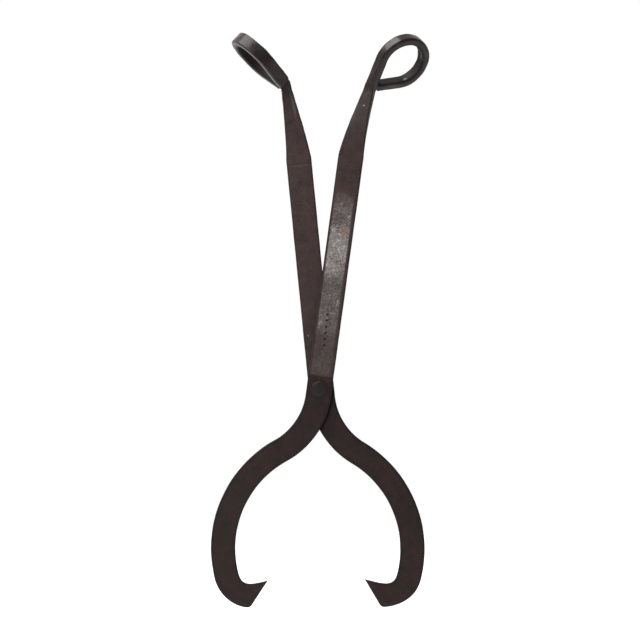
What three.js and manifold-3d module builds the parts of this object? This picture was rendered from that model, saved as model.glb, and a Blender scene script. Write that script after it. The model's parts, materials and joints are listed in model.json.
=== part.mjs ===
// Ice tongs: two flat forged arms, crossed like scissors on one rivet. Each arm runs from a hooked jaw through
// the crossing to a bar handle, which is drawn out to a neck and rolled into a teardrop eye.
// Millimetres. +Z runs up the tongs, +X to the right, -Y to the front. Each arm is laid out in a flat plan
// around the rivet, with "out" towards its own handle's side, and the whole is then moved so that the origin is
// the centre of the front arm's eye, which it hangs by.
import * as THREE from "three";
import { mergeVertices } from "three/addons/utils/BufferGeometryUtils.js";
import Module from "manifold-3d";

const wasm = await Module();
wasm.setup();

const degrees = THREE.MathUtils.degToRad;
const { lerp, smoothstep } = THREE.MathUtils;

// Bar stock and crossing
const BAR_WIDTH = 25.4;
const BAR_THICKNESS = 6.35;
const JAW_WIDTH = 24.4;
const EDGE_CHAMFER = 1;
const CROSSING_GAP = 0.5;

// Handle: distances up the bar from the rivet
const CREASE_UP = 12.5;
const NECK_UP = 307;
const NECK_THICKNESS = 7;

// Eye: a teardrop loop of flat strip, with two straight legs that meet at the neck
const EYE_RADIUS = 25.1;
const EYE_THICKNESS = 8.3;
const LEG_ANGLE = degrees(39.3);
const NECK_BEND = 6;
const STRIP_END_GAP = 6;

// Jaw: a shoulder that curves away from the middle, then a wide bend back to the point
const SHOULDER_TURN = degrees(53.3);
const BEND_RADIUS = 112;
const LEVELLING_FROM = degrees(8);
const LEVELLING_TO = degrees(60);

// Beak at the jaw's end: forward along the jaw and inward from its middle line
const HEEL_HANDLE = [-5, -16.3];
const THROAT_REACH = 13.5;
const THROAT_HANDLE = [0.4, -21.5];
const CORNER_ROUND = 3;
const BEVEL_FROM = 0.85;
const BEVEL_EDGE = 2;

// Rivet
const SHANK_RADIUS = 4.75;
const HEAD_RADIUS = 8;
const HEAD_RIM = 1;
const HEAD_CROWN = 2.6;
const FIT_GAP = 0.3;
const ROUND_STEPS = 48;

// The arms differ a little, as hand work does
const FRONT_ARM = {
  side: 1,
  offset: 0.2,
  lean: degrees(7.8),
  leanBack: degrees(1.8),
  shoulderUp: 235,
  neckShift: 10.3,
  neckWidth: 11.4,
  neckCurve: 1.4,
  twist: degrees(24),
  eyeLean: degrees(39),
  eyeTilt: degrees(42.8),
  eyeWidth: 12,
  straight: 7.7,
  shoulderRadius: 73.2,
  bendTurn: degrees(75),
  heelReach: 17,
  tip: [15, 39.2],
  corner: [37, 15.3],
};
const REAR_ARM = {
  side: -1,
  offset: -2.4,
  lean: degrees(5.65),
  leanBack: degrees(2.5),
  shoulderUp: 231,
  neckShift: 6.1,
  neckWidth: 10.4,
  neckCurve: 1.5,
  twist: degrees(6),
  eyeLean: degrees(43.9),
  eyeTilt: degrees(8),
  eyeWidth: 13.5,
  straight: 7.7,
  shoulderRadius: 75.2,
  bendTurn: degrees(73),
  heelReach: 20,
  tip: [13.5, 42.4],
  corner: [36.6, 19.6],
};

// A point of the flat plan (out, up) at a depth
function place(arm, plan, depth) {
  return new THREE.Vector3(arm.side * plan.x, depth, plan.y);
}

function restDepth(arm) {
  return (-arm.side * (BAR_THICKNESS + CROSSING_GAP)) / 2;
}

// One cross-section of an arm: its middle, the direction across its width, and its size
function section(middle, across, width, thickness) {
  return { middle, across: across.clone().normalize(), width, thickness };
}

function sectionBetween(arm, outer, inner, depth, thickness) {
  const middle = outer.clone().add(inner).multiplyScalar(0.5);
  const across = inner.clone().sub(outer);
  return section(place(arm, middle, depth), place(arm, across, 0), across.length(), thickness);
}

// The jaw's middle line: a starting point, a heading, and where each arc leaves it
function jawPlan(arm) {
  const heading = new THREE.Vector2(-Math.sin(arm.lean), -Math.cos(arm.lean));
  const start = new THREE.Vector2(arm.offset, 0).addScaledVector(heading, arm.straight);
  const outward = new THREE.Vector2(-Math.cos(arm.lean), Math.sin(arm.lean));
  const shoulderCentre = start.clone().addScaledVector(outward, arm.shoulderRadius);
  const shoulderEnd = -arm.lean - SHOULDER_TURN;
  const toBend = new THREE.Vector2(Math.cos(shoulderEnd), Math.sin(shoulderEnd));
  const bendCentre = shoulderCentre.clone().addScaledVector(toBend, arm.shoulderRadius + BEND_RADIUS);
  return { shoulderCentre, bendCentre, bendStart: Math.PI + shoulderEnd };
}

function pointOn(centre, radius, angle) {
  return new THREE.Vector2(centre.x + radius * Math.cos(angle), centre.y + radius * Math.sin(angle));
}

// The arms lie one in front of the other at the rivet, and their points in one plane
function jawDepth(arm, turned) {
  return restDepth(arm) * (1 - smoothstep(turned, LEVELLING_FROM, LEVELLING_TO));
}

function beakSections(arm) {
  const { bendCentre, bendStart } = jawPlan(arm);
  const angle = bendStart + arm.bendTurn;
  const forward = new THREE.Vector2(-Math.sin(angle), Math.cos(angle));
  const inward = new THREE.Vector2(-Math.cos(angle), -Math.sin(angle));
  const middle = pointOn(bendCentre, BEND_RADIUS, angle);
  const at = ([ahead, across]) =>
    middle.clone().addScaledVector(forward, ahead).addScaledVector(inward, across);
  const half = JAW_WIDTH / 2;
  const tip = at(arm.tip);
  const corner = at(arm.corner);
  const slant = tip.clone().sub(corner).normalize();
  const heelHandle = corner.clone().add(at(HEEL_HANDLE)).sub(middle);
  const along = corner.clone().sub(heelHandle).normalize();
  const beforeCorner = corner.clone().addScaledVector(along, -CORNER_ROUND);
  const afterCorner = corner.clone().addScaledVector(slant, CORNER_ROUND);
  const outerEdge = new THREE.CurvePath();
  outerEdge.add(new THREE.CubicBezierCurve(at([0, -half]), at([arm.heelReach, -half]), heelHandle, beforeCorner));
  outerEdge.add(new THREE.QuadraticBezierCurve(beforeCorner, corner, afterCorner));
  const throatHandle = tip.clone().add(at(THROAT_HANDLE)).sub(middle);
  const innerEdge = new THREE.CubicBezierCurve(at([0, half]), at([THROAT_REACH, half]), throatHandle, tip);
  const steps = 14;
  const sections = [];
  for (let i = steps; i > 0; i -= 1) {
    const t = i / steps;
    const thickness = lerp(BAR_THICKNESS, BEVEL_EDGE, Math.max(0, (t - BEVEL_FROM) / (1 - BEVEL_FROM)));
    sections.push(sectionBetween(arm, outerEdge.getPointAt(t), innerEdge.getPointAt(t), 0, thickness));
  }
  return sections;
}

// Both arcs of the jaw, from the beak back up to the rivet
function jawSections(arm) {
  const { shoulderCentre, bendCentre, bendStart } = jawPlan(arm);
  const half = JAW_WIDTH / 2;
  const sections = [];
  const bendSteps = 20;
  for (let i = bendSteps; i >= 0; i -= 1) {
    const turned = (arm.bendTurn * i) / bendSteps;
    const outer = pointOn(bendCentre, BEND_RADIUS + half, bendStart + turned);
    const inner = pointOn(bendCentre, BEND_RADIUS - half, bendStart + turned);
    sections.push(sectionBetween(arm, outer, inner, jawDepth(arm, turned), BAR_THICKNESS));
  }
  const shoulderSteps = 10;
  for (let i = shoulderSteps - 1; i >= 0; i -= 1) {
    const along = i / shoulderSteps;
    const angle = -arm.lean - SHOULDER_TURN * along;
    const grown = lerp(BAR_WIDTH, JAW_WIDTH, along) / 2;
    const outer = pointOn(shoulderCentre, arm.shoulderRadius - grown, angle);
    const inner = pointOn(shoulderCentre, arm.shoulderRadius + grown, angle);
    sections.push(sectionBetween(arm, outer, inner, restDepth(arm), BAR_THICKNESS));
  }
  return sections;
}

// The handle's middle: straight up the bar, then shifted outward from the shoulder to the neck
function handlePoint(arm, up) {
  const rise = Math.max(0, (up - arm.shoulderUp) / (NECK_UP - arm.shoulderUp));
  const shift = arm.neckShift * rise ** arm.neckCurve;
  const out = arm.offset + up * Math.sin(arm.lean) + shift * Math.cos(arm.lean);
  const height = up * Math.cos(arm.lean) - shift * Math.sin(arm.lean);
  const back = Math.max(0, up - CREASE_UP) * Math.tan(arm.leanBack);
  return place(arm, new THREE.Vector2(out, height), restDepth(arm) + back);
}

function handleDirection(arm, up) {
  return handlePoint(arm, up).sub(handlePoint(arm, up - 1)).normalize();
}

// Across the handle, outward, turned about the bar by the twist that grows towards the neck
function handleAcross(arm, up) {
  const direction = handleDirection(arm, up);
  const flat = new THREE.Vector3(arm.side * direction.z, 0, -arm.side * direction.x);
  const twist = arm.twist * smoothstep(up, arm.shoulderUp, NECK_UP);
  return flat.applyAxisAngle(direction, -arm.side * twist);
}

function handleSections(arm) {
  const sections = [];
  const straightStations = [CREASE_UP, 30, 90, 150, 210];
  for (const up of straightStations) {
    sections.push(section(handlePoint(arm, up), handleAcross(arm, up), BAR_WIDTH, BAR_THICKNESS));
  }
  const taperSteps = 12;
  for (let i = 0; i <= taperSteps; i += 1) {
    const along = i / taperSteps;
    const up = lerp(arm.shoulderUp, NECK_UP - NECK_BEND, along);
    const width = lerp(BAR_WIDTH, arm.neckWidth, along);
    const thickness = lerp(BAR_THICKNESS, NECK_THICKNESS, along);
    sections.push(section(handlePoint(arm, up), handleAcross(arm, up), width, thickness));
  }
  return sections;
}

// The eye's plane: "long" runs from the neck through the eye's middle, "near" to the front, "axis" through the hole
function eyePlane(arm) {
  const { eyeLean, eyeTilt, side } = arm;
  const long = new THREE.Vector3(side * Math.cos(eyeLean), 0, Math.sin(eyeLean));
  const near = new THREE.Vector3(
    -side * Math.sin(eyeLean) * Math.sin(eyeTilt),
    -Math.cos(eyeTilt),
    Math.cos(eyeLean) * Math.sin(eyeTilt),
  );
  const axis = new THREE.Vector3(
    side * Math.sin(eyeLean) * Math.cos(eyeTilt),
    -Math.sin(eyeTilt),
    -Math.cos(eyeLean) * Math.cos(eyeTilt),
  );
  const centre = handlePoint(arm, NECK_UP).addScaledVector(long, EYE_RADIUS / Math.sin(LEG_ANGLE));
  const at = (x, y) => centre.clone().addScaledVector(long, x).addScaledVector(near, y);
  return { centre, axis, at };
}

function eyeSections(arm) {
  const { axis, at } = eyePlane(arm);
  const apex = handlePoint(arm, NECK_UP);
  const touch = Math.PI / 2 + LEG_ANGLE;
  const onCircle = (angle) => at(EYE_RADIUS * Math.cos(angle), EYE_RADIUS * Math.sin(angle));
  const legStart = onCircle(touch).sub(apex).setLength(NECK_BEND).add(apex);
  const bendStart = handlePoint(arm, NECK_UP - NECK_BEND);
  const neck = new THREE.QuadraticBezierCurve3(bendStart, apex, legStart);
  const acrossNeck = handleAcross(arm, NECK_UP - NECK_BEND);
  const sections = [];
  const neckSteps = 6;
  for (let i = 1; i <= neckSteps; i += 1) {
    const t = i / neckSteps;
    const across = acrossNeck.clone().lerp(axis, t);
    const width = lerp(arm.neckWidth, arm.eyeWidth, t);
    sections.push(section(neck.getPoint(t), across, width, lerp(NECK_THICKNESS, EYE_THICKNESS, t)));
  }
  const circleSteps = 32;
  for (let i = 0; i <= circleSteps; i += 1) {
    const angle = lerp(touch, -touch, i / circleSteps);
    sections.push(section(onCircle(angle), axis, arm.eyeWidth, EYE_THICKNESS));
  }
  const stripEnd = onCircle(-touch).sub(apex).setLength(STRIP_END_GAP).add(apex);
  sections.push(section(stripEnd, axis, arm.eyeWidth, EYE_THICKNESS));
  return sections;
}

// The corners of one section, chamfered, in order round it
function outline({ width, thickness }) {
  const x = width / 2;
  const y = thickness / 2;
  const cut = Math.min(EDGE_CHAMFER, thickness / 3);
  return [
    [x, y - cut],
    [x - cut, y],
    [cut - x, y],
    [-x, y - cut],
    [-x, cut - y],
    [cut - x, -y],
    [x - cut, -y],
    [x, cut - y],
  ];
}

// A closed solid through a row of sections
function loft(sections) {
  const corners = 8;
  const positions = [];
  sections.forEach((here, i) => {
    const before = sections[Math.max(i - 1, 0)].middle;
    const after = sections[Math.min(i + 1, sections.length - 1)].middle;
    const through = after.clone().sub(before).cross(here.across).normalize();
    for (const [x, y] of outline(here)) {
      const point = here.middle.clone().addScaledVector(here.across, x).addScaledVector(through, y);
      positions.push(point.x, point.y, point.z);
    }
  });
  const triangles = [];
  for (let i = 0; i + 1 < sections.length; i += 1) {
    for (let j = 0; j < corners; j += 1) {
      const low = i * corners + j;
      const lowNext = i * corners + ((j + 1) % corners);
      triangles.push(low, lowNext, low + corners);
      triangles.push(lowNext, lowNext + corners, low + corners);
    }
  }
  const last = (sections.length - 1) * corners;
  for (let j = 1; j + 1 < corners; j += 1) {
    triangles.push(0, j + 1, j);
    triangles.push(last, last + j, last + j + 1);
  }
  const geometry = new THREE.BufferGeometry();
  geometry.setAttribute("position", new THREE.Float32BufferAttribute(positions, 3));
  geometry.setIndex(triangles);
  return geometry;
}

// A round solid about the rivet's axis, from a profile of [radius, depth] that starts and ends on the axis
function turned(profile) {
  const points = profile.map(([radius, depth]) => new THREE.Vector2(radius, depth));
  return new THREE.LatheGeometry(points, ROUND_STEPS);
}

function toSolid(geometry) {
  const bare = geometry.clone();
  bare.deleteAttribute("normal");
  bare.deleteAttribute("uv");
  const merged = mergeVertices(bare);
  const vertProperties = merged.getAttribute("position").array;
  const triVerts = new Uint32Array(merged.index.array);
  return new wasm.Manifold(new wasm.Mesh({ numProp: 3, vertProperties, triVerts }));
}

function toGeometry(solid) {
  const { vertProperties, triVerts } = solid.getMesh();
  const geometry = new THREE.BufferGeometry();
  geometry.setAttribute("position", new THREE.BufferAttribute(vertProperties, 3));
  geometry.setIndex(new THREE.BufferAttribute(triVerts, 1));
  geometry.computeVertexNormals();
  return geometry;
}

function armGeometry(arm) {
  const sections = [
    ...beakSections(arm),
    ...jawSections(arm),
    ...handleSections(arm),
    ...eyeSections(arm),
  ];
  const radius = SHANK_RADIUS + FIT_GAP;
  const depth = 2 * BAR_THICKNESS;
  const hole = turned([[0, -depth], [radius, -depth], [radius, depth], [0, depth]]);
  return toGeometry(toSolid(loft(sections)).subtract(toSolid(hole)));
}

// A plain shank between two button heads
function rivetGeometry() {
  const underHead = BAR_THICKNESS + CROSSING_GAP / 2 + FIT_GAP;
  const domeSteps = 8;
  const rearHead = [[SHANK_RADIUS, underHead]];
  for (let i = domeSteps; i > 0; i -= 1) {
    const angle = (Math.PI / 2) * (i / domeSteps);
    const height = HEAD_RIM + (HEAD_CROWN - HEAD_RIM) * Math.cos(angle);
    rearHead.push([HEAD_RADIUS * Math.sin(angle), underHead + height]);
  }
  rearHead.splice(1, 0, [HEAD_RADIUS, underHead]);
  rearHead.push([0, underHead + HEAD_CROWN]);
  const frontHead = rearHead.map(([radius, depth]) => [radius, -depth]).reverse();
  return turned([...frontHead, ...rearHead]);
}

const darkSteel = new THREE.MeshStandardMaterial({ color: 0x3c302e, roughness: 0.55, metalness: 0.8 });
const wornSteel = new THREE.MeshStandardMaterial({ color: 0x544b49, roughness: 0.45, metalness: 0.85 });

const tongs = new THREE.Group();
for (const [name, geometry, material] of [
  ["front_arm", armGeometry(FRONT_ARM), wornSteel],
  ["rear_arm", armGeometry(REAR_ARM), darkSteel],
  ["rivet", rivetGeometry(), darkSteel],
]) {
  const mesh = new THREE.Mesh(geometry, material);
  mesh.name = name;
  tongs.add(mesh);
}
tongs.position.copy(eyePlane(FRONT_ARM).centre).negate();

const assembly = new THREE.Group();
assembly.add(tongs);
export default assembly;
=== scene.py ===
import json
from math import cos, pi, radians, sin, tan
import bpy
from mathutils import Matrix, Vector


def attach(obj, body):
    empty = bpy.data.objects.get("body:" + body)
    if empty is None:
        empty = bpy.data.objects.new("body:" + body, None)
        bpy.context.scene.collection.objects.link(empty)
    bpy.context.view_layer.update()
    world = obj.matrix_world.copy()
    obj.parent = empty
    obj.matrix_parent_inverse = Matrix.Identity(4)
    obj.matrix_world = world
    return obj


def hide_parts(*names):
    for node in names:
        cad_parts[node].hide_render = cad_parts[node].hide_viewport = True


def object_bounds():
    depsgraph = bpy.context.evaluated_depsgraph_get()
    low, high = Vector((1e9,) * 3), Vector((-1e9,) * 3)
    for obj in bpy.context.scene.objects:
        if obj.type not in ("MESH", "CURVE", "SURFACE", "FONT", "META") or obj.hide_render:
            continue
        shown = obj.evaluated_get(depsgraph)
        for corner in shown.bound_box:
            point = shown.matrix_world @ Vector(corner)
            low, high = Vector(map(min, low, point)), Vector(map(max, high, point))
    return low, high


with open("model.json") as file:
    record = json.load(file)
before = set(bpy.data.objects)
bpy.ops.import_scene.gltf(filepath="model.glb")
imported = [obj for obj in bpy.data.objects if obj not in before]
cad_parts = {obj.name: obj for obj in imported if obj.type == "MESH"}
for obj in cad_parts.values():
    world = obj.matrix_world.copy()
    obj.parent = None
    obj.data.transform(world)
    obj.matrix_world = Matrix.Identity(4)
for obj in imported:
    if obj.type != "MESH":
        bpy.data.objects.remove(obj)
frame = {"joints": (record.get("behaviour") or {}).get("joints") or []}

# Ice tongs: two crossed forged arms on one rivet. Each arm is one bar of steel: a hooked jaw, a flat handle
# and a drawn-out neck that is rolled into a teardrop eye. The shapes are worked out in millimetres around the
# rivet, with +Z up the tongs and -Y to the front, and are then set down at the frame's pivot, in metres.
from types import SimpleNamespace

import bmesh
import bpy
from mathutils import Quaternion, Vector, noise

MM = 0.001
CAD_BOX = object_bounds()
PIVOT = Vector(frame["joints"][0]["pos_m"])

# Bar stock and crossing, as in the CAD
BAR_WIDTH = 25.4
BAR_THICKNESS = 6.35
JAW_WIDTH = 24.4
CROSSING_GAP = 0.5
CREASE_UP = 12.5
NECK_UP = 307
NECK_THICKNESS = 7

# Eye
EYE_RADIUS = 25.1
EYE_THICKNESS = 8.3
LEG_ANGLE = radians(39.3)
NECK_BEND = 6
STRIP_END_GAP = 6

# Jaw
SHOULDER_TURN = radians(53.3)
BEND_RADIUS = 112
LEVELLING_FROM = radians(8)
LEVELLING_TO = radians(60)
HEEL_HANDLE = (-5, -16.3)
THROAT_REACH = 13.5
THROAT_HANDLE = (0.4, -21.5)
CORNER_ROUND = 3
BEVEL_FROM = 0.85
BEVEL_EDGE = 2

# Rivet
SHANK_RADIUS = 4.75
HEAD_RADIUS = 8
HEAD_RIM = 1
HEAD_CROWN = 2.6
FIT_GAP = 0.3

FRONT_ARM = SimpleNamespace(
    side=1, offset=0.2, lean=radians(7.8), lean_back=radians(1.8),
    shoulder_up=235, neck_shift=10.3, neck_width=11.4, neck_curve=1.4, twist=radians(24),
    eye_lean=radians(39), eye_tilt=radians(42.8), eye_width=12, eye_corner=2.3,
    straight=7.7, shoulder_radius=73.2, bend_turn=radians(75),
    heel_reach=17, tip=(15, 39.2), corner=(37, 15.3),
    crease_depth=0.15, jaw_painted_shade=0.80,
)
REAR_ARM = SimpleNamespace(
    side=-1, offset=-2.4, lean=radians(5.65), lean_back=radians(2.5),
    shoulder_up=231, neck_shift=6.1, neck_width=10.4, neck_curve=1.5, twist=radians(6),
    eye_lean=radians(43.9), eye_tilt=radians(8), eye_width=13.5, eye_corner=1.4,
    straight=7.7, shoulder_radius=75.2, bend_turn=radians(73),
    heel_reach=20, tip=(13.5, 42.4), corner=(36.6, 19.6),
    crease_depth=0.7, jaw_painted_shade=0.70,
)

# Fineness of the surface, and the wear of its edges
STATION_STEP = 1.35
FACE_STEPS = 22
SIDE_STEPS = 5
CORNER_STEPS = 3
WORN_CORNER = 1.1

# Hand work in the surface: how deep it is, and how far apart its lumps lie, in millimetres
FORGING_DEPTH = 0.16
FORGING_SPACING = 21
HAMMER_DEPTH = 0.3
HAMMER_SPACING = 9
PITTING_DEPTH = 0.24
PIT_SPACING = 2.6
PIT_RARITY = 0.28
PEENING_DEPTH = 0.35
PEENING_SPACING = 4.2
PEENING_SINK = 0.12
NECK_CREASE_UP = 307.5
NECK_CREASE_HALF_WIDTH = 1.7
NECK_CREASE_SLANT = 0.55

# A plain row of round punch marks up the front handle: (bar, across) of each, in millimetres
PUNCH_MARKS = [(43.5 + 6.2 * i, -1.0 - 0.16 * i) for i in range(6)]
PUNCH_RADIUS = 1.5
PUNCH_DEPTH = 0.7
PUNCH_LIP = 0.1
PUNCH_MARGIN = 1.6

# Where the arms cross: how far out the other arm is looked for, and how far along the bar the faces that meet
# stay flatter than the rest
CROSSING_REACH = 95
MATING_REACH = 90
MATING_FLATNESS = 0.8

# Painted shadow beside the other arm where they cross: how far it lies along the bar, how far it spreads out
# of the crevice and how strong it is on the crevice's left side, and how strong the painted shade and grime
# are inside the eyes. The shadow is 1 on the crevice's right side.
CREVICE_SHADOW_ALONG = 75
CREVICE_SHADOW_REACH = 3.4
LEFT_SIDE_SHADOW = 0.12
EYE_SHADE_AND_DIRT = 0.85

# Wear and painted sheen of the front handle: the stretches up the bar where bare steel and a painted sheen of
# the light show, and how much each adds
WEAR_AND_SHEEN_STRETCH = (60, 190)
STRETCH_WEAR_AND_SHEEN = 0.085
MOST_WEAR_AND_SHEEN_STRETCH = (117, 164)
MOST_WEAR_AND_SHEEN = 0.235
FAINT_SHEEN_AND_WEAR_END = 203
FAINT_SHEEN_AND_WEAR_FADE = 20
FAINT_SHEEN_AND_WEAR = 0.036

# Studio, in metres
CAMERA_DISTANCE = 3.0
VIEW_WIDTH = 0.64
SENSOR_WIDTH = 36
VIEW_CENTRE_X = 1.0 * MM
VIEW_CENTRE_Z = 68.5 * MM
FLOOR_RADIUS = 1.3
FLOOR_DROP = 0.012
ROOM_DIM = 0.34
ROOM_BRIGHT = 0.95


# ---------------------------------------------------------------- studio

def make_camera():
    """A long lens, level with the middle of the tongs and square to them."""
    camera = bpy.data.objects.new("camera", bpy.data.cameras.new("camera"))
    bpy.context.scene.collection.objects.link(camera)
    camera.data.sensor_width = SENSOR_WIDTH
    camera.data.lens = SENSOR_WIDTH * CAMERA_DISTANCE / VIEW_WIDTH
    camera.location = PIVOT + Vector((VIEW_CENTRE_X, -CAMERA_DISTANCE, VIEW_CENTRE_Z))
    camera.rotation_euler = (pi / 2, 0, 0)
    camera.data.clip_end = 50
    bpy.context.scene.camera = camera


def make_light(name, direction, distance, size, power):
    """A square soft box in the given direction from the tongs, facing them."""
    data = bpy.data.lights.new(name, "AREA")
    data.shape = "SQUARE"
    data.size = size
    data.energy = power
    light = bpy.data.objects.new(name, data)
    bpy.context.scene.collection.objects.link(light)
    toward = Vector(direction).normalized()
    light.location = PIVOT + toward * distance
    light.rotation_mode = "QUATERNION"
    light.rotation_quaternion = toward.to_track_quat("Z", "Y")


def make_room():
    """A white room: the walls behind the tongs are bright, and the end that they face is dimmer."""
    bpy.context.scene.view_settings.view_transform = "Standard"
    world = bpy.data.worlds.new("room")
    world.use_nodes = True
    bpy.context.scene.world = world
    graph = Graph(world.node_tree)
    direction = graph.node("ShaderNodeTexCoord").outputs["Generated"]
    depth = graph.node("ShaderNodeSeparateXYZ", {"Vector": direction}).outputs["Y"]
    light = graph.spread(depth, -0.6, 0.7, ROOM_DIM, ROOM_BRIGHT)
    walls = graph.node("ShaderNodeBackground", {"Color": (1, 1, 1, 1), "Strength": light})
    seen = graph.node("ShaderNodeBackground", {"Color": (1, 1, 1, 1), "Strength": 1.0})
    direct = graph.node("ShaderNodeLightPath").outputs["Is Camera Ray"]
    mixed = graph.node("ShaderNodeMixShader", {0: direct, 1: walls.outputs[0], 2: seen.outputs[0]})
    graph.node("ShaderNodeOutputWorld", {"Surface": mixed.outputs[0]})


def make_floor():
    """A pale round floor, just clear of the lowest sweep of the jaws."""
    mesh = bpy.data.meshes.new("floor")
    shape = bmesh.new()
    bmesh.ops.create_circle(shape, cap_ends=True, segments=96, radius=FLOOR_RADIUS)
    shape.to_mesh(mesh)
    shape.free()
    floor = bpy.data.objects.new("floor", mesh)
    bpy.context.scene.collection.objects.link(floor)
    floor.location = (PIVOT.x, PIVOT.y, CAD_BOX[0].z - FLOOR_DROP)
    material = bpy.data.materials.new("pale_floor")
    material.use_nodes = True
    shader = material.node_tree.nodes["Principled BSDF"]
    shader.inputs["Base Color"].default_value = (0.9, 0.9, 0.9, 1)
    shader.inputs["Roughness"].default_value = 0.9
    shader.inputs["Specular IOR Level"].default_value = 0.1
    shader.inputs["Emission Color"].default_value = (1, 1, 1, 1)
    shader.inputs["Emission Strength"].default_value = 0.3
    mesh.materials.append(material)


# ---------------------------------------------------------------- materials

class Graph:
    """Short ways to add nodes to a tree. An input is a socket to link from, or a value to set."""

    def __init__(self, tree):
        self.tree = tree
        tree.nodes.clear()

    def node(self, kind, inputs=(), **settings):
        made = self.tree.nodes.new(kind)
        for name, value in settings.items():
            setattr(made, name, value)
        for name, value in dict(inputs).items():
            if isinstance(value, bpy.types.NodeSocket):
                self.tree.links.new(value, made.inputs[name])
            else:
                made.inputs[name].default_value = value
        return made

    def math(self, operation, first, second=0.0, clamp=False):
        made = self.node("ShaderNodeMath", {0: first, 1: second}, operation=operation, use_clamp=clamp)
        return made.outputs[0]

    def spread(self, value, low, high, to_low=0.0, to_high=1.0):
        """The value's place between low and high, eased, as a number between to_low and to_high."""
        inputs = {"Value": value, "From Min": low, "From Max": high, "To Min": to_low, "To Max": to_high}
        return self.node("ShaderNodeMapRange", inputs, interpolation_type="SMOOTHSTEP").outputs["Result"]

    def between(self, value, start, end, ease):
        """1 where the value lies between start and end, easing to 0 outside."""
        rise = self.spread(value, start - ease, start + ease)
        fall = self.spread(value, end - ease, end + ease, 1.0, 0.0)
        return self.math("MULTIPLY", rise, fall)

    def cloud(self, place, size, detail=3.0, roughness=0.55, distortion=0.0):
        """Soft noise whose lumps are about size millimetres across."""
        inputs = {
            "Vector": place, "Scale": 1 / size, "Detail": detail, "Roughness": roughness,
            "Distortion": distortion,
        }
        return self.node("ShaderNodeTexNoise", inputs).outputs["Fac"]

    def mix(self, amount, first, second):
        made = self.node("ShaderNodeMix", {0: amount, 6: first, 7: second}, data_type="RGBA")
        return made.outputs[2]

    def shade(self, colour, brightness):
        """The colour times a number."""
        grey = self.node("ShaderNodeCombineColor", {0: brightness, 1: brightness, 2: brightness})
        made = self.node("ShaderNodeMix", {0: 1.0, 6: colour, 7: grey.outputs[0]}, data_type="RGBA")
        made.blend_type = "MULTIPLY"
        return made.outputs[2]

    def length(self, along, aside):
        """The length of the flat vector (along, aside)."""
        flat = self.node("ShaderNodeCombineXYZ", {0: along, 1: aside}).outputs[0]
        return self.node("ShaderNodeVectorMath", {0: flat}, operation="LENGTH").outputs["Value"]

    def attribute(self, name):
        return self.node("ShaderNodeAttribute", attribute_name=name).outputs["Fac"]


def rgb(red, green, blue):
    return (red, green, blue, 1)


JAW_BROWN = rgb(0.0172, 0.0076, 0.0062)
DARK_RUST = rgb(0.0285, 0.0095, 0.0070)
OLIVE_BLACK = rgb(0.0125, 0.0112, 0.0088)
# Bare steel, which also paints the sheen of the light on the front handle
BARE_STEEL_AND_SHEEN = rgb(0.50, 0.47, 0.45)
# Dark brown for painted shadow, painted shade and grime, and for the punch marks
SHADE_AND_GRIME = rgb(0.0062, 0.0036, 0.0031)
GROUND_GREY = rgb(0.0165, 0.0130, 0.0122)
NECK_BROWN = rgb(0.026, 0.0165, 0.0155)
EYE_BROWN = rgb(0.0190, 0.0120, 0.0110)
# Silvery colour of rubbed steel and of painted highlights
EYE_SILVER_AND_HIGHLIGHT = rgb(0.115, 0.112, 0.115)
FRESH_RUST = rgb(0.20, 0.085, 0.012)
NICK_BRIGHT = rgb(0.22, 0.19, 0.175)
NICK_DULL = rgb(0.12, 0.090, 0.080)
FRONT_HANDLE_BROWN = rgb(0.0335, 0.0205, 0.0190)
REAR_HANDLE_BROWN = rgb(0.0375, 0.0225, 0.0212)
RIVET_BROWN = rgb(0.0120, 0.0066, 0.0055)
RIVET_CROWN = rgb(0.0082, 0.0061, 0.0053)


def steel_shader(graph, colour, metal, roughness, height, depth):
    """The last stage of every steel: colour, metalness and roughness vary, and height makes the relief."""
    bump = graph.node("ShaderNodeBump", {"Height": height, "Strength": 1.0, "Distance": depth * MM})
    inputs = {
        "Base Color": colour, "Metallic": metal, "Roughness": roughness, "Normal": bump.outputs["Normal"],
        "Specular IOR Level": 0.2,
    }
    shader = graph.node("ShaderNodeBsdfPrincipled", inputs)
    graph.node("ShaderNodeOutputMaterial", {"Surface": shader.outputs[0]})


def new_steel(name):
    """A material, its graph, and the place of its points in millimetres."""
    material = bpy.data.materials.new(name)
    material.use_nodes = True
    graph = Graph(material.node_tree)
    metres = graph.node("ShaderNodeTexCoord").outputs["Object"]
    place = graph.node("ShaderNodeVectorMath", {0: metres, "Scale": 1 / MM}, operation="SCALE").outputs[0]
    return material, graph, place


def read_surface(graph, place, arm):
    """What the mesh says of each point of an arm, and the noises that the stages of its steel share."""
    bar = graph.attribute("bar")
    through = graph.math("MULTIPLY", graph.attribute("through"), -arm.side)
    return SimpleNamespace(
        bar=bar,
        across=graph.attribute("across"),
        edge=graph.attribute("edge"),
        from_end=graph.attribute("from_end"),
        shade_and_grime=graph.attribute("shade_and_grime"),
        front=graph.spread(through, 0.0, 2.0),
        on_handle=graph.spread(bar, CREASE_UP - 0.9, CREASE_UP + 0.9),
        in_eye=graph.spread(bar, NECK_UP - 16, NECK_UP + 10),
        broad=graph.cloud(place, 38),
        blotch=graph.cloud(place, 13, 3, 0.6),
        mottle=graph.cloud(place, 9, 4, 0.6, 0.4),
        fleck=graph.cloud(place, 3.1, 2, 0.5),
        fine=graph.cloud(place, 1.6, 4, 0.65),
        grain=graph.cloud(place, 1.3, 4, 0.65),
    )


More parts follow.
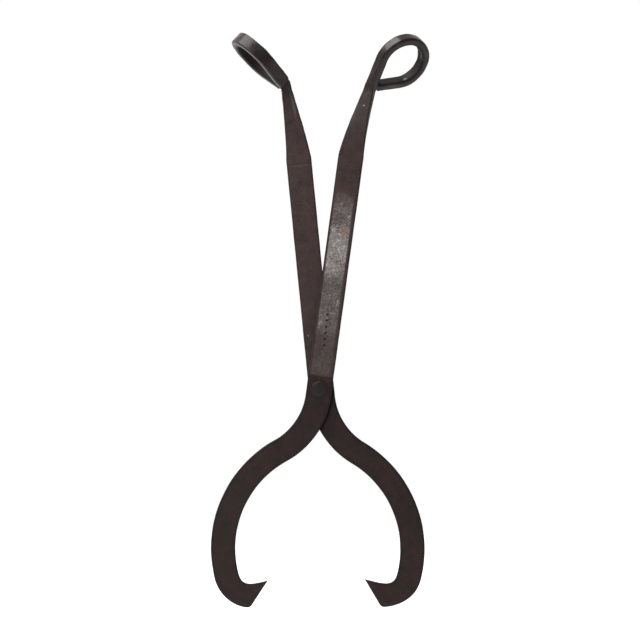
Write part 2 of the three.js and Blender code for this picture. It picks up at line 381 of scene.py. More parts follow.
def patina(graph, surface, arm, handle_brown):
    """The forged brown, with broad clouds, reddish and olive mottling and fine grain; the jaw is a darker
    brown with painted shade over it.
    """
    on_handle = surface.on_handle
    mottle = surface.mottle
    colour = graph.mix(on_handle, JAW_BROWN, handle_brown)
    olive = graph.math("MULTIPLY", graph.spread(mottle, 0.5, 0.3), graph.spread(on_handle, 0, 1, 0.55, 0.15))
    colour = graph.mix(olive, colour, OLIVE_BLACK)
    near_heel = graph.math("MULTIPLY", graph.spread(surface.from_end, 105, 30), 0.6)
    redness = graph.math("ADD", graph.spread(surface.broad, 0.35, 0.65, 0.1, 0.7), near_heel)
    redness = graph.math("MULTIPLY", redness, graph.spread(on_handle, 0, 1, 0.62, 0.5))
    reddish = graph.math("MULTIPLY", graph.spread(mottle, 0.40, 0.62), redness, clamp=True)
    colour = graph.mix(reddish, colour, DARK_RUST)
    # Painted shade: the jaw below the crease is darkened
    colour = graph.shade(colour, graph.spread(on_handle, 0, 1, arm.jaw_painted_shade, 1.0))
    clouded = graph.spread(surface.broad, 0.25, 0.75, 0.88, 1.12)
    grained = graph.spread(surface.grain, 0.2, 0.8, 0.85, 1.15)
    return graph.shade(colour, graph.math("MULTIPLY", clouded, grained))


def neck_and_eye(graph, surface, colour, highlights_and_silver_patches, rubbed_rim):
    """The dark, smooth neck and eye. Returns the colour, and where hands have rubbed them silvery and where
    highlights are painted on them.
    """
    on_neck = graph.spread(surface.bar, NECK_UP - 44, NECK_UP - 8)
    colour = graph.mix(on_neck, colour, NECK_BROWN)
    colour = graph.mix(surface.in_eye, colour, EYE_BROWN)
    rim = graph.spread(surface.edge, 0.4, 0.0, 0.0, rubbed_rim)
    silver_and_highlight = graph.math("MULTIPLY", surface.in_eye, rim)
    wander = graph.math("MULTIPLY", graph.math("SUBTRACT", surface.mottle, 0.5), 1.6)
    # Patches of rubbed steel and painted highlights, in a silvery colour, where the light glints on the eyes
    # and the necks' edges
    for patch_bar, patch_across, half_length, half_width, strength in highlights_and_silver_patches:
        along = graph.math("DIVIDE", graph.math("SUBTRACT", surface.bar, patch_bar), half_length)
        aside = graph.math("DIVIDE", graph.math("SUBTRACT", surface.across, patch_across), half_width)
        away = graph.math("ADD", graph.length(along, aside), wander)
        silver_and_highlight = graph.math("MAXIMUM", silver_and_highlight, graph.spread(away, 0.35, 1.2, strength, 0.0))
    colour = graph.mix(silver_and_highlight, colour, EYE_SILVER_AND_HIGHLIGHT)
    return graph.shade(colour, graph.spread(surface.mottle, 0.3, 0.7, 0.8, 1.2)), silver_and_highlight


def worn_flat_and_sheen(graph, surface, wear_and_sheen):
    """How far the flat of the handle is rubbed and painted with a sheen of the light, and its specks of
    rubbed steel and sheen, which stop short of the edges.
    """
    # Rubbed steel and a painted sheen of the light on the handle's flat; the faint stretch starts at the
    # crease
    rubbed = graph.math("MULTIPLY", graph.between(surface.bar, *WEAR_AND_SHEEN_STRETCH, 12), STRETCH_WEAR_AND_SHEEN)
    thick = graph.math("MULTIPLY", graph.between(surface.bar, *MOST_WEAR_AND_SHEEN_STRETCH, 9), MOST_WEAR_AND_SHEEN)
    faint = graph.math("MULTIPLY", graph.spread(surface.bar, CREASE_UP - 0.2, CREASE_UP + 2.2), FAINT_SHEEN_AND_WEAR)
    fading = graph.spread(surface.bar, FAINT_SHEEN_AND_WEAR_END, FAINT_SHEEN_AND_WEAR_END - FAINT_SHEEN_AND_WEAR_FADE)
    faint = graph.math("MULTIPLY", faint, fading)
    amount = graph.math("ADD", graph.math("ADD", rubbed, thick), faint)
    on_faces = graph.math("MULTIPLY", wear_and_sheen, graph.spread(surface.front, 0, 1, 0.3, 1.0))
    amount = graph.math("MULTIPLY", amount, on_faces)
    specks = graph.math("ADD", graph.math("MULTIPLY", surface.blotch, 0.45), surface.fine)
    specks = graph.spread(specks, 0.5, 0.95, 0.25, 1.8)
    specks = graph.math("MULTIPLY", specks, graph.spread(surface.fleck, 0.60, 0.70, 1.0, 2.2))
    off_edge = graph.spread(surface.edge, 0.4, 2.0)
    inside = graph.math("MULTIPLY", off_edge, graph.spread(surface.across, 9.6, 8.0))
    bare_and_sheen = graph.math("MULTIPLY", graph.math("MULTIPLY", amount, specks), inside, clamp=True)
    return amount, bare_and_sheen


def ground_end(graph, surface, colour):
    """The heel's edge was ground, and the slanted end is rough and dark with a rubbed tip."""
    outer_edge = graph.spread(surface.across, -9.8, -11.6)
    heel = graph.math("MULTIPLY", graph.spread(surface.from_end, 42, 30), outer_edge)
    ground = graph.math("MULTIPLY", heel, graph.spread(surface.mottle, 0.35, 0.6, 1.0, 0.4))
    colour = graph.mix(ground, colour, GROUND_GREY)
    grained = graph.spread(surface.grain, 0.25, 0.7, 1.0, 0.55)
    rough_end = graph.math("MULTIPLY", graph.spread(surface.from_end, 7.5, 5.0), grained)
    colour = graph.shade(colour, graph.math("SUBTRACT", 1.0, graph.math("MULTIPLY", rough_end, 0.45)))
    mottled = graph.spread(surface.mottle, 0.4, 0.6)
    tip_light = graph.math("MULTIPLY", graph.spread(surface.from_end, 1.4, 0.4), mottled)
    return graph.mix(tip_light, colour, GROUND_GREY)


def shade_and_dirt(graph, surface, colour, silver_and_highlight):
    """Painted shade darkens the rounded corners and the jaw's borders, and the dark mark of painted shadow,
    painted shade and soiling goes on top. Returns the colour, and where that dark mark lies.
    """
    # Painted shade along the rounded corners
    corner = graph.math("ADD", surface.edge, graph.math("MULTIPLY", surface.mottle, 1.2))
    colour = graph.shade(colour, graph.spread(corner, 0.5, 1.9, 0.62, 1.0))
    # Painted shade over the jaw near its borders
    border = graph.math("ADD", surface.edge, graph.math("MULTIPLY", surface.mottle, 4))
    jaw_border = graph.spread(border, 2.0, 5.5, 0.72, 1.0)
    colour = graph.shade(colour, graph.math("MAXIMUM", jaw_border, surface.on_handle))
    shade_and_grime = graph.math("MULTIPLY", surface.shade_and_grime, graph.math("SUBTRACT", 1.0, silver_and_highlight), clamp=True)
    return graph.mix(shade_and_grime, colour, SHADE_AND_GRIME), shade_and_grime


def mark_spots(graph, surface, colour, bare_and_sheen, spots):
    """Small marks on the front face, over the colour, the rubbed steel and the painted sheen."""
    for spot_bar, spot_across, radius, spot_colour, raggedness in spots:
        along = graph.math("SUBTRACT", surface.bar, spot_bar)
        aside = graph.math("SUBTRACT", surface.across, spot_across)
        wander = graph.math("MULTIPLY", graph.math("SUBTRACT", surface.fine, 0.5), radius * raggedness)
        away = graph.math("ADD", graph.length(along, aside), wander)
        spot = graph.spread(away, radius * 0.55, radius * 1.15, 0.9, 0.0)
        spot = graph.math("MULTIPLY", surface.front, spot)
        colour = graph.mix(spot, colour, spot_colour)
        bare_and_sheen = graph.math("MULTIPLY", bare_and_sheen, graph.math("SUBTRACT", 1.0, spot))
    return colour, bare_and_sheen


def arm_steel(name, arm, handle_brown, wear_and_sheen, spots, highlights_and_silver_patches, rubbed_rim):
    """Old forged bar: brown patina, darker on the jaw, with painted shade on the jaw and in the corners,
    smooth and rubbed in the eye, with painted highlights there.

    The handle's wear number is how far the flat of the handle is rubbed to steel and painted with a sheen of
    the light, and rubbed_rim how the eye's corners are rubbed. A spot is (bar, across, radius, colour,
    raggedness), and a patch of rubbed steel and painted highlight (bar, across, half length, half width,
    strength), with the lengths in millimetres.
    """
    material, graph, place = new_steel(name)
    surface = read_surface(graph, place, arm)
    colour = patina(graph, surface, arm, handle_brown)
    colour, silver_and_highlight = neck_and_eye(graph, surface, colour, highlights_and_silver_patches, rubbed_rim)
    amount, bare_and_sheen = worn_flat_and_sheen(graph, surface, wear_and_sheen)
    colour = graph.mix(bare_and_sheen, colour, BARE_STEEL_AND_SHEEN)
    colour = ground_end(graph, surface, colour)
    colour, shade_and_grime = shade_and_dirt(graph, surface, colour, silver_and_highlight)
    colour, bare_and_sheen = mark_spots(graph, surface, colour, bare_and_sheen, spots)
    metal = graph.math("MAXIMUM", bare_and_sheen, graph.math("MULTIPLY", silver_and_highlight, 0.8))
    metal = graph.math("MULTIPLY", metal, graph.math("SUBTRACT", 1.0, shade_and_grime))
    rough = graph.spread(surface.mottle, 0.3, 0.7, 0.46, 0.6)
    rough = graph.math("SUBTRACT", rough, graph.math("MULTIPLY", surface.in_eye, 0.24))
    rough = graph.math("SUBTRACT", rough, graph.math("MULTIPLY", bare_and_sheen, 0.08))
    rough = graph.math("ADD", rough, graph.math("MULTIPLY", shade_and_grime, 0.5), clamp=True)
    mottled = graph.math("MULTIPLY", surface.mottle, 0.6)
    relief = graph.math("ADD", graph.math("MULTIPLY", surface.grain, 0.5), mottled)
    pitted = graph.math("MULTIPLY", graph.math("ADD", amount, 0.15), graph.spread(surface.fine, 0.35, 0.6))
    relief = graph.math("ADD", relief, pitted)
    steel_shader(graph, colour, metal, rough, relief, 0.09)
    return material


def rivet_steel():
    """Hammered head: dark patina with a slightly greener crown and traces of rust round the rim."""
    material, graph, place = new_steel("rivet_steel")
    radius = graph.attribute("radius")
    mottle = graph.cloud(place, 5, 4, 0.6)
    grain = graph.cloud(place, 1.1, 4, 0.65)
    crown = graph.math("MULTIPLY", graph.spread(radius, 7.4, 4.5), graph.spread(mottle, 0.3, 0.6, 0.5, 1.0))
    colour = graph.mix(crown, RIVET_BROWN, RIVET_CROWN)
    rim = graph.math("MULTIPLY", graph.spread(radius, 6.6, 7.9), graph.spread(mottle, 0.5, 0.65, 0.0, 0.4))
    colour = graph.mix(rim, colour, DARK_RUST)
    colour = graph.shade(colour, graph.spread(grain, 0.2, 0.8, 0.8, 1.2))
    rough = graph.spread(mottle, 0.3, 0.7, 0.5, 0.64)
    relief = graph.math("ADD", graph.math("MULTIPLY", grain, 0.5), mottle)
    steel_shader(graph, colour, 0.0, rough, relief, 0.12)
    return material


# ---------------------------------------------------------------- the arms' middle lines

def lerp(first, second, amount):
    return first + (second - first) * amount


def smoothstep(value, low, high):
    amount = min(max((value - low) / (high - low), 0), 1)
    return amount * amount * (3 - 2 * amount)


def place_plan(arm, plan, depth):
    """A point of the arm's flat plan (out, up) at a depth."""
    return Vector((arm.side * plan.x, depth, plan.y))


def rest_depth(arm):
    return -arm.side * (BAR_THICKNESS + CROSSING_GAP) / 2


def mating_depth(arm):
    """The depth of the face that meets the other arm where they cross."""
    return rest_depth(arm) + arm.side * BAR_THICKNESS / 2


def bezier(*points):
    """The curve with these control points, as a function of 0 to 1."""
    def at(amount):
        level = points
        while len(level) > 1:
            level = [a.lerp(b, amount) for a, b in zip(level, level[1:])]
        return level[0]
    return at


def evenly(curves, steps):
    """Points at equal distances along a chain of curves."""
    fineness = 60
    track = [curve(i / fineness) for curve in curves for i in range(fineness + 1)]
    lengths = [0.0]
    for here, after in zip(track, track[1:]):
        lengths.append(lengths[-1] + (after - here).length)
    points = []
    nearest = 0
    for i in range(steps + 1):
        wanted = lengths[-1] * i / steps
        while nearest < len(track) - 2 and lengths[nearest + 1] < wanted:
            nearest += 1
        gap = lengths[nearest + 1] - lengths[nearest]
        share = (wanted - lengths[nearest]) / gap if gap else 0
        points.append(track[nearest].lerp(track[nearest + 1], share))
    return points


def section(middle, across, width, thickness, corner=WORN_CORNER):
    """One cross-section: its middle, the direction across its width, its size and its corners' rounding."""
    return SimpleNamespace(
        middle=middle, across=across.normalized(), width=width, thickness=thickness, corner=corner
    )


def section_between(arm, outer, inner, depth, thickness):
    across = place_plan(arm, inner - outer, 0)
    middle = place_plan(arm, (outer + inner) / 2, depth)
    return section(middle, across, across.length, thickness, min(WORN_CORNER, thickness / 3))


def point_on(centre, radius, angle):
    return centre + Vector((radius * cos(angle), radius * sin(angle)))


def jaw_plan(arm):
    """The jaw's two arcs: a shoulder that turns away from the middle, and the bend back to the point."""
    heading = Vector((-sin(arm.lean), -cos(arm.lean)))
    start = Vector((arm.offset, 0)) + heading * arm.straight
    shoulder_centre = start + Vector((-cos(arm.lean), sin(arm.lean))) * arm.shoulder_radius
    shoulder_end = -arm.lean - SHOULDER_TURN
    bend_centre = point_on(shoulder_centre, arm.shoulder_radius + BEND_RADIUS, shoulder_end)
    return shoulder_centre, bend_centre, pi + shoulder_end


def beak_sections(arm):
    """The jaw's end, from its slanted edge back to the bend."""
    _, bend_centre, bend_start = jaw_plan(arm)
    angle = bend_start + arm.bend_turn
    forward = Vector((-sin(angle), cos(angle)))
    inward = Vector((-cos(angle), -sin(angle)))
    middle = point_on(bend_centre, BEND_RADIUS, angle)
    half = JAW_WIDTH / 2

    def at(ahead, across):
        return middle + forward * ahead + inward * across

    tip = at(*arm.tip)
    corner = at(*arm.corner)
    slant = (tip - corner).normalized()
    heel_handle = corner + at(*HEEL_HANDLE) - middle
    before_corner = corner - (corner - heel_handle).normalized() * CORNER_ROUND
    after_corner = corner + slant * CORNER_ROUND
    steps = 38
    outer_edge = evenly(
        [
            bezier(at(0, -half), at(arm.heel_reach, -half), heel_handle, before_corner),
            bezier(before_corner, corner, after_corner),
        ],
        steps,
    )
    throat_handle = tip + at(*THROAT_HANDLE) - middle
    inner_edge = evenly([bezier(at(0, half), at(THROAT_REACH, half), throat_handle, tip)], steps)
    sections = []
    for i in range(steps, 0, -1):
        ground = max(0, (i / steps - BEVEL_FROM) / (1 - BEVEL_FROM))
        thickness = lerp(BAR_THICKNESS, BEVEL_EDGE, ground)
        sections.append(section_between(arm, outer_edge[i], inner_edge[i], 0, thickness))
    return sections


def jaw_sections(arm):
    """Both arcs of the jaw, from the beak back up to the rivet."""
    shoulder_centre, bend_centre, bend_start = jaw_plan(arm)
    sections = []
    steps = round(BEND_RADIUS * arm.bend_turn / STATION_STEP)
    for i in range(steps, -1, -1):
        turned = arm.bend_turn * i / steps
        angle = bend_start + turned
        outer = point_on(bend_centre, BEND_RADIUS + JAW_WIDTH / 2, angle)
        inner = point_on(bend_centre, BEND_RADIUS - JAW_WIDTH / 2, angle)
        depth = rest_depth(arm) * (1 - smoothstep(turned, LEVELLING_FROM, LEVELLING_TO))
        sections.append(section_between(arm, outer, inner, depth, BAR_THICKNESS))
    steps = round(arm.shoulder_radius * SHOULDER_TURN / STATION_STEP)
    for i in range(steps - 1, -1, -1):
        along = i / steps
        angle = -arm.lean - SHOULDER_TURN * along
        half = lerp(BAR_WIDTH, JAW_WIDTH, along) / 2
        outer = point_on(shoulder_centre, arm.shoulder_radius - half, angle)
        inner = point_on(shoulder_centre, arm.shoulder_radius + half, angle)
        sections.append(section_between(arm, outer, inner, rest_depth(arm), BAR_THICKNESS))
    return sections


def handle_point(arm, up):
    rise = max(0, (up - arm.shoulder_up) / (NECK_UP - arm.shoulder_up))
    shift = arm.neck_shift * rise ** arm.neck_curve
    out = arm.offset + up * sin(arm.lean) + shift * cos(arm.lean)
    height = up * cos(arm.lean) - shift * sin(arm.lean)
    back = max(0, up - CREASE_UP) * tan(arm.lean_back)
    return place_plan(arm, Vector((out, height)), rest_depth(arm) + back)


def handle_across(arm, up):
    """Across the handle, outward, turned about the bar by the twist that grows towards the neck."""
    direction = (handle_point(arm, up) - handle_point(arm, up - 1)).normalized()
    flat = Vector((arm.side * direction.z, 0, -arm.side * direction.x))
    twist = arm.twist * smoothstep(up, arm.shoulder_up, NECK_UP)
    return Quaternion(direction, -arm.side * twist) @ flat


def handle_sections(arm):
    """From just above the jaw's shoulder, past the rivet, up to the neck's bend."""
    sections = []
    low = STATION_STEP - arm.straight
    high = NECK_UP - NECK_BEND
    steps = round((high - low) / STATION_STEP)
    for i in range(steps + 1):
        up = lerp(low, high, i / steps)
        along = max(0, (up - arm.shoulder_up) / (high - arm.shoulder_up))
        width = lerp(BAR_WIDTH, arm.neck_width, along)
        thickness = lerp(BAR_THICKNESS, NECK_THICKNESS, along)
        sections.append(section(handle_point(arm, up), handle_across(arm, up), width, thickness))
    return sections


def eye_plane(arm):
    """The eye's centre, the hole's axis, and a function that places a point of its plane."""
    lean, tilt, side = arm.eye_lean, arm.eye_tilt, arm.side
    long = Vector((side * cos(lean), 0, sin(lean)))
    near = Vector((-side * sin(lean) * sin(tilt), -cos(tilt), cos(lean) * sin(tilt)))
    axis = Vector((side * sin(lean) * cos(tilt), -sin(tilt), -cos(lean) * cos(tilt)))
    centre = handle_point(arm, NECK_UP) + long * (EYE_RADIUS / sin(LEG_ANGLE))
    return axis, lambda angle: centre + (long * cos(angle) + near * sin(angle)) * EYE_RADIUS


def eye_sections(arm):
    """The neck's bend, the round of the eye and the strip's straight end."""
    axis, on_circle = eye_plane(arm)
    apex = handle_point(arm, NECK_UP)
    touch = pi / 2 + LEG_ANGLE
    leg = (on_circle(touch) - apex).normalized()
    neck = bezier(handle_point(arm, NECK_UP - NECK_BEND), apex, apex + leg * NECK_BEND)
    across_neck = handle_across(arm, NECK_UP - NECK_BEND)
    sections = []
    steps = 9
    for i in range(1, steps + 1):
        along = i / steps
        across = across_neck.lerp(axis, along)
        width = lerp(arm.neck_width, arm.eye_width, along)
        thickness = lerp(NECK_THICKNESS, EYE_THICKNESS, along)
        corner = lerp(WORN_CORNER, arm.eye_corner, along)
        sections.append(section(neck(along), across, width, thickness, corner))
    back = (on_circle(-touch) - apex).normalized()
    leg_steps = 12
    round_steps = round(2 * touch * EYE_RADIUS / STATION_STEP)
    end_steps = 14
    middles = evenly([bezier(apex + leg * NECK_BEND, on_circle(touch))], leg_steps)[1:]
    middles += [on_circle(lerp(touch, -touch, i / round_steps)) for i in range(1, round_steps + 1)]
    middles += evenly([bezier(on_circle(-touch), apex + back * STRIP_END_GAP)], end_steps)[1:]
    for middle in middles:
        sections.append(section(middle, axis, arm.eye_width, EYE_THICKNESS, arm.eye_corner))
    return sections


# ---------------------------------------------------------------- solids

def outline(width, thickness, corner):
    """Points round a rectangle with rounded corners, each as (across, through, distance from a corner)."""
    half = Vector((width / 2 - corner, thickness / 2 - corner))
    ring = []
    signs = ((1, 1), (-1, 1), (-1, -1), (1, -1))
    for quarter, (sign_x, sign_y) in enumerate(signs):
        centre = Vector((sign_x * half.x, sign_y * half.y))
        for i in range(CORNER_STEPS + 1):
            angle = (quarter + i / CORNER_STEPS) * pi / 2
            ring.append((centre.x + corner * cos(angle), centre.y + corner * sin(angle), 0.0))
        after = signs[(quarter + 1) % 4]
        steps = FACE_STEPS if quarter % 2 == 0 else SIDE_STEPS
        start = Vector(ring[-1][:2])
        run = Vector((after[0] - sign_x, after[1] - sign_y))
        run = Vector((run.x * half.x, run.y * half.y))
        for i in range(1, steps):
            point = start + run * (i / steps)
            ring.append((point.x, point.y, run.length * min(i, steps - i) / steps))
    return ring


def loft(sections):
    """The vertices, faces and surface values of a closed solid through a row of sections."""
    lengths = [0.0]
    for here, after in zip(sections, sections[1:]):
        lengths.append(lengths[-1] + (after.middle - here.middle).length)
    vertices, bars, acrosses, throughs, edges = [], [], [], [], []
    for i, here in enumerate(sections):
        before = sections[max(i - 1, 0)].middle
        after = sections[min(i + 1, len(sections) - 1)].middle
        through = (after - before).cross(here.across).normalized()
        ring = outline(here.width, here.thickness, here.corner)
        for x, y, edge in ring:
            vertices.append(here.middle + here.across * x + through * y)
            bars.append(lengths[i])
            acrosses.append(x)
            throughs.append(y)
            edges.append(edge)
    count = len(ring)
    faces = []
    for i in range(len(sections) - 1):
        for j in range(count):
            low = i * count + j
            low_next = i * count + (j + 1) % count
            faces.append((low, low_next, low_next + count, low + count))
    for i, order in ((0, -1), (len(sections) - 1, 1)):
        middle = len(vertices)
        vertices.append(sections[i].middle.copy())
        bars.append(lengths[i])
        acrosses.append(0.0)
        throughs.append(0.0)
        edges.append(sections[i].thickness / 2)
        for j in range(count):
            pair = (i * count + j, i * count + (j + 1) % count)
            faces.append((middle, *pair[::order]))
    return vertices, faces, {"bar": bars, "across": acrosses, "through": throughs, "edge": edges}


def new_piece(name, vertices, faces, values):
    """An object with named numbers on its points."""
    mesh = bpy.data.meshes.new(name)
    mesh.from_pydata(vertices, [], faces)
    for key, numbers in values.items():
        mesh.attributes.new(key, "FLOAT", "POINT").data.foreach_set("value", numbers)
    piece = bpy.data.objects.new(name, mesh)
    bpy.context.scene.collection.objects.link(piece)
    return piece


def set_down(piece, material):
    """Moves a finished piece from the rivet's millimetres to the frame's metres, with its material on."""
    for vertex in piece.data.vertices:
        vertex.co = vertex.co * MM + PIVOT
    piece.data.shade_smooth()
    piece.data.set_sharp_from_angle(angle=radians(38))
    piece.data.materials.clear()
    piece.data.materials.append(material)


def neck_crease(bar, across):
    """1 in the middle of the slanting crease where the neck turns into the eye, and 0 outside it."""
    along = bar - NECK_CREASE_UP + across * NECK_CREASE_SLANT
    return max(0, 1 - (along / NECK_CREASE_HALF_WIDTH) ** 2)


def forged_depth(place, bar, across, arm, keep_flat):
    """How far hammer and rust have moved the surface in or out. The shifts keep the three noises unlike."""
    wave = noise.noise(place / FORGING_SPACING) * FORGING_DEPTH
    drawn = smoothstep(bar, arm.shoulder_up, NECK_UP - 20)
    hammer = noise.noise(place / HAMMER_SPACING + Vector((40, 0, 0))) * HAMMER_DEPTH * drawn
    pit = min(0, noise.noise(place / PIT_SPACING + Vector((0, 70, 0))) + PIT_RARITY) * PITTING_DEPTH
    crease = -arm.crease_depth * neck_crease(bar, across)
    return (wave + hammer) * (1 - keep_flat) + pit + crease


def refine(mesh, is_near, passes):
    """Splits the faces whose points are all near, so that a small mark has enough points to be round."""
    shape = bmesh.new()
    shape.from_mesh(mesh)
    bars = shape.verts.layers.float["bar"]
    acrosses = shape.verts.layers.float["across"]
    for _ in range(passes):
        shape.faces.ensure_lookup_table()
        edges = set()
        for face in shape.faces:
            if all(is_near(corner.co, corner[bars], corner[acrosses]) for corner in face.verts):
                edges.update(face.edges)
        bmesh.ops.subdivide_edges(shape, edges=list(edges), cuts=1, use_grid_fill=True)
    shape.to_mesh(mesh)
    shape.free()


def punched_depth(bar, across):
    """The depth of the punch marks: round bowls with a slightly raised lip."""
    depth = 0.0
    for mark_bar, mark_across in PUNCH_MARKS:
        away = ((bar - mark_bar) ** 2 + (across - mark_across) ** 2) ** 0.5 / PUNCH_RADIUS
        if away < 1.5:
            bowl = -PUNCH_DEPTH * max(0, 1 - away * away) ** 0.7
            lip = PUNCH_LIP * max(0, 1 - ((away - 1.12) / 0.3) ** 2)
            depth += bowl + lip
    return depth


def near_marks(place, bar, across):
    """Whether a point of the front handle's front face is within reach of a punch mark."""
    if place.y > rest_depth(FRONT_ARM):
        return False
    reach = PUNCH_RADIUS + PUNCH_MARGIN
    return any(
        abs(bar - mark_bar) < reach and abs(across - mark_across) < reach
        for mark_bar, mark_across in PUNCH_MARKS
    )


def read_values(mesh, name):
    numbers = [0.0] * len(mesh.vertices)
    mesh.attributes[name].data.foreach_get("value", numbers)
    return numbers


def painted_crevice_shadow(arm, other_sections, place, bar):
    """Painted shadow of the other arm: 1 along its right edge near the rivet, fading past it; less under it
    or on its left.
    """
    mating = mating_depth(arm)
    if abs(bar) > CREVICE_SHADOW_ALONG or abs(place.y - mating) > 1.5:
        return 0.0
    flat = Vector((place.x, place.z))
    nearest = min(
        other_sections, key=lambda here: (Vector((here.middle.x, here.middle.z)) - flat).length_squared
    )
    offset = flat - Vector((nearest.middle.x, nearest.middle.z))
    across = Vector((nearest.across.x, nearest.across.z)).normalized()
    past = abs(offset.dot(across)) - nearest.width / 2
    side = 1.0 if offset.x > 0 else LEFT_SIDE_SHADOW
    outside = 1 - smoothstep(past, 0.6, CREVICE_SHADOW_REACH)
    return side * outside * (1 - 0.7 * smoothstep(-past, 0, 4))


def eye_shade_and_dirt(arm, through, bar):
    """The inside of the eye, which is the back face of the bar rolled round, is dirty and has painted shade.
    """
    inner = smoothstep(through * arm.side, 0.5, 3.2)
    return EYE_SHADE_AND_DIRT * inner * smoothstep(bar, NECK_UP, NECK_UP + 8)


def make_arm(name, arm, other, material):
    """One arm, lofted from the beak to the end of the eye's strip, then worked over."""
    beak = beak_sections(arm)
    jaw = jaw_sections(arm)
    sections = beak + jaw + handle_sections(arm) + eye_sections(arm)
    vertices, faces, values = loft(sections)
    rivet_at = len(beak) + len(jaw)
    ring = (len(vertices) - 2) // len(sections)
    shift = values["bar"][rivet_at * ring] - (STATION_STEP - arm.straight)
    values["from_end"] = values["bar"]
    values["bar"] = [bar - shift for bar in values["bar"]]
    piece = new_piece(name, vertices, faces, values)
    if arm is FRONT_ARM:
        refine(piece.data, near_marks, 2)
    bars = read_values(piece.data, "bar")
    acrosses = read_values(piece.data, "across")
    throughs = read_values(piece.data, "through")
    others = jaw_sections(other) + handle_sections(other)
    crossing = [here for here in others if here.middle.length < CROSSING_REACH]
    normals = [vertex.normal.copy() for vertex in piece.data.vertices]
    # One dark mark: painted shadow beside the other arm, painted shade and dirt inside the eyes, and painted
    # shade in the neck's crease
    shade_and_grime = []
    for vertex, normal, bar, across, through in zip(piece.data.vertices, normals, bars, acrosses, throughs):
        # Painted shadow of the other arm in the crevice where they cross
        in_crevice_shadow = painted_crevice_shadow(arm, crossing, vertex.co, bar)
        # Painted shade in the neck's crease, stronger where it is cut deeper
        in_crease = arm.crease_depth * neck_crease(bar, across)
        # Painted shade and dirt inside the eye
        shade_and_grime.append(in_crevice_shadow + eye_shade_and_dirt(arm, through, bar) + in_crease)
        at_mating = abs(vertex.co.y - mating_depth(arm)) < 0.6 and abs(bar) < MATING_REACH
        depth = forged_depth(vertex.co, bar, across, arm, MATING_FLATNESS if at_mating else 0.0)
        if arm is FRONT_ARM and near_marks(vertex.co, bar, across):
            depth += punched_depth(bar, across)
        vertex.co += normal * depth
    piece.data.attributes.new("shade_and_grime", "FLOAT", "POINT").data.foreach_set("value", shade_and_grime)
    cut_rivet_hole(piece)
    set_down(piece, material)
    return piece


def cut_rivet_hole(piece):
    """Cuts the round hole that the rivet's shank passes through."""
    mesh = bpy.data.meshes.new("hole")
    shape = bmesh.new()
    radius = SHANK_RADIUS + FIT_GAP
    bmesh.ops.create_cone(
        shape, cap_ends=True, segments=48, radius1=radius, radius2=radius, depth=4 * BAR_THICKNESS
    )
    for vertex in shape.verts:
        vertex.co = Vector((vertex.co.x, -vertex.co.z, vertex.co.y))
    shape.to_mesh(mesh)
    shape.free()
    cutter = bpy.data.objects.new("hole", mesh)
    bpy.context.scene.collection.objects.link(cutter)
    cut = piece.modifiers.new("rivet_hole", "BOOLEAN")
    cut.object = cutter
    cut.operation = "DIFFERENCE"
    cut.solver = "MANIFOLD"
    depsgraph = bpy.context.evaluated_depsgraph_get()
    whole = piece.data
    piece.data = bpy.data.meshes.new_from_object(piece.evaluated_get(depsgraph))
    piece.modifiers.clear()
    bpy.data.meshes.remove(whole)
    bpy.data.objects.remove(cutter)


def make_rivet(material):
    """A shank between two heads, peened by hand so that each is a little uneven."""
    under_head = BAR_THICKNESS + CROSSING_GAP / 2 + FIT_GAP
    edge = 0.3
    head = [(SHANK_RADIUS, under_head), (HEAD_RADIUS - edge, under_head), (HEAD_RADIUS, under_head + edge)]
    dome_steps = 14
    for i in range(dome_steps, 0, -1):
        angle = pi / 2 * i / dome_steps
        height = HEAD_RIM + (HEAD_CROWN - HEAD_RIM) * cos(angle)
        head.append((HEAD_RADIUS * sin(angle), under_head + height))
    profile = [(radius, -depth) for radius, depth in reversed(head)] + head
    steps = 64
    vertices, radii, faces = [], [], []
    for radius, depth in profile:
        for j in range(steps):
            angle = 2 * pi * j / steps
            vertices.append(Vector((radius * cos(angle), depth, -radius * sin(angle))))
            radii.append(radius)
    for i in range(len(profile) - 1):
        for j in range(steps):
            low = i * steps + j
            low_next = i * steps + (j + 1) % steps
            faces.append((low, low_next, low_next + steps, low + steps))
    for i, sign in ((0, -1), (len(profile) - 1, 1)):
        middle = len(vertices)
        vertices.append(Vector((0, sign * (under_head + HEAD_CROWN), 0)))
        radii.append(0.0)
        for j in range(steps):
            pair = (i * steps + j, i * steps + (j + 1) % steps)
            faces.append((middle, *pair[::sign]))
    piece = new_piece("rivet_peened", vertices, faces, {"radius": radii})
    normals = [vertex.normal.copy() for vertex in piece.data.vertices]
    for vertex, normal in zip(piece.data.vertices, normals):
        if abs(vertex.co.y) > under_head + 0.2:
            vertex.co += normal * (noise.noise(vertex.co / PEENING_SPACING) * PEENING_DEPTH - PEENING_SINK)
    set_down(piece, material)
    return piece


# ---------------------------------------------------------------- the scene

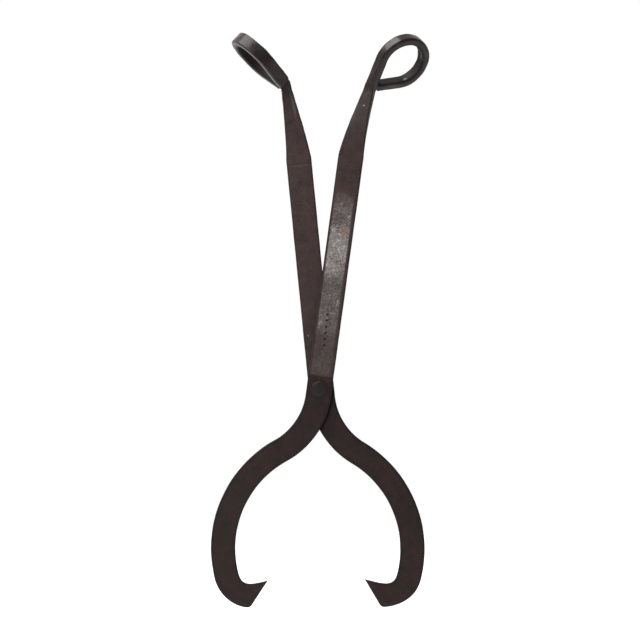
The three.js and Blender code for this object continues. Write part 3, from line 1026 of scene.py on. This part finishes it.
make_camera()
make_room()
make_light("overhead_box", direction=(-0.37, -0.14, 0.92), distance=1.5, size=1.1, power=30)
make_light("front_box", direction=(-0.5, -1.0, 0.55), distance=2.2, size=1.0, power=14)
make_floor()

# Punch marks, dark in their bowls, a spot of fresh rust and two nicks on the front arm
front_spots = [(bar, across, PUNCH_RADIUS, SHADE_AND_GRIME, 0.5) for bar, across in PUNCH_MARKS]
front_spots += [
    (158.5, 2.8, 2.7, FRESH_RUST, 5.0),
    (287, 0.4, 1.0, NICK_BRIGHT, 0.6),
    (88.6, 6.6, 1.1, NICK_BRIGHT, 2.0),
]
# Painted highlights, partly rubbed steel, on the front eye, from its rise round to its end, and last on the
# front neck's outer edge
front_highlights_and_silver = [
    (361, 0.5, 6, 7, 0.14),
    (405, 3, 8.5, 3.2, 0.55),
    (444, 2.8, 3.0, 1.8, 0.8),
    (461, 5, 13, 2, 0.3),
    (276, -7, 15, 2.2, 0.16),
]
rear_spots = [(53.8, 8.0, 1.0, NICK_DULL, 1.5)]
# Painted highlights, partly rubbed steel, on the rear eye's far side and start and on the rear neck's edge,
# and a line scribed across the rear handle
rear_highlights_and_silver = [
    (392, 5.5, 6, 2.6, 0.8),
    (312, 6, 5, 2, 0.6),
    (285, -3.6, 15, 1.9, 0.4),
    (224.4, 0, 0.6, 14, 0.3),
]
front_steel = arm_steel(
    "worn_forged_steel", FRONT_ARM, FRONT_HANDLE_BROWN, wear_and_sheen=1.0, spots=front_spots,
    highlights_and_silver_patches=front_highlights_and_silver, rubbed_rim=0.0,
)
rear_steel = arm_steel(
    "dark_forged_steel", REAR_ARM, REAR_HANDLE_BROWN, wear_and_sheen=0.0, spots=rear_spots,
    highlights_and_silver_patches=rear_highlights_and_silver, rubbed_rim=0.22,
)

front_arm = make_arm("front_arm_forged", FRONT_ARM, REAR_ARM, front_steel)
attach(front_arm, "front_arm")
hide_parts("front_arm")

rear_arm = make_arm("rear_arm_forged", REAR_ARM, FRONT_ARM, rear_steel)
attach(rear_arm, "rear_arm")
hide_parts("rear_arm")

rivet = make_rivet(rivet_steel())
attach(rivet, "front_arm")
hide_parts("rivet")
